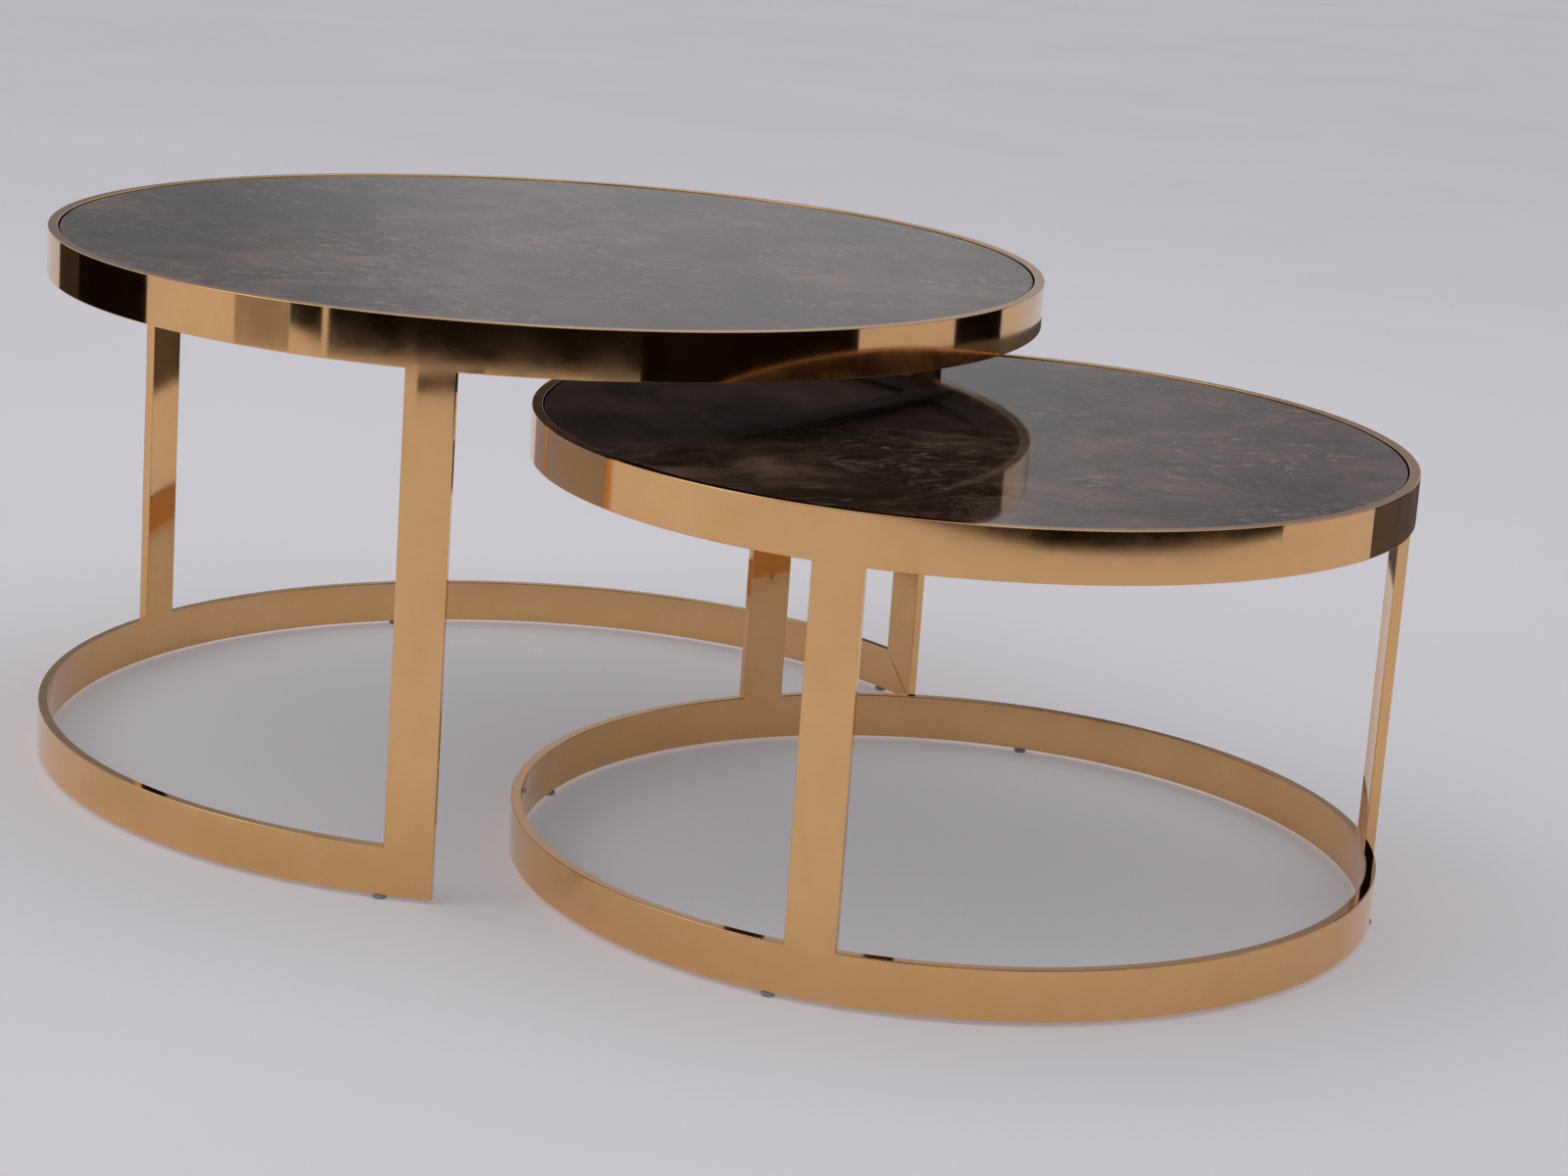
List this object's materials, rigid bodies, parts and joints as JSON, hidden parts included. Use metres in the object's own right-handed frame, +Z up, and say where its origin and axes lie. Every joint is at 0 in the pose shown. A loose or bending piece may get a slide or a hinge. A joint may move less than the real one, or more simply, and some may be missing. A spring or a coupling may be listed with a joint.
{
  "type": "nesting tables",
  "caption": "Pair of round nesting coffee tables with flat-bar metal frames and inset stone tops; the lower one slides in under the taller one through its open base.",
  "frame": {"origin": "on the floor, at the centre of the box round both tables as they stand partly nested", "axes": "+X from the large table's centre to the small table's centre, the way the small table pulls out; +Z up"},
  "size_m": [1.138, 0.8, 0.428],
  "materials": {
    "gold": "polished gold-coloured coating",
    "support_steel": "satin black-brown paint",
    "clear_pad": "soft silicone",
    "screw_steel": "zinc plated",
    "backing_board": "dark painted board",
    "marble": "polished dark brown marble with pale veins",
    "glide_pad": "translucent grey"
  },
  "bodies": {
    "large_table": {"large_rim": "gold", "large_leg_front": "gold", "large_leg_right": "gold", "large_leg_back": "gold", "large_base": "gold", "large_ledge": "support_steel", "large_strap_front": "support_steel", "large_strap_back": "support_steel", "large_pads": "clear_pad", "large_screws": "screw_steel", "large_board": "backing_board", "large_top": "marble", "large_feet": "glide_pad"},
    "small_table": {"small_rim": "gold", "small_leg_front": "gold", "small_leg_right": "gold", "small_leg_back": "gold", "small_base": "gold", "small_ledge": "support_steel", "small_strap_front": "support_steel", "small_strap_back": "support_steel", "small_pads": "clear_pad", "small_screws": "screw_steel", "small_board": "backing_board", "small_top": "marble", "small_feet": "glide_pad"}
  },
  "joints": [
    {"name": "nest_slide", "type": "slide", "parent": "large_table", "child": "small_table", "axis": [1, 0, 0], "range_m": [-0.468, 0.33]}
  ]
}
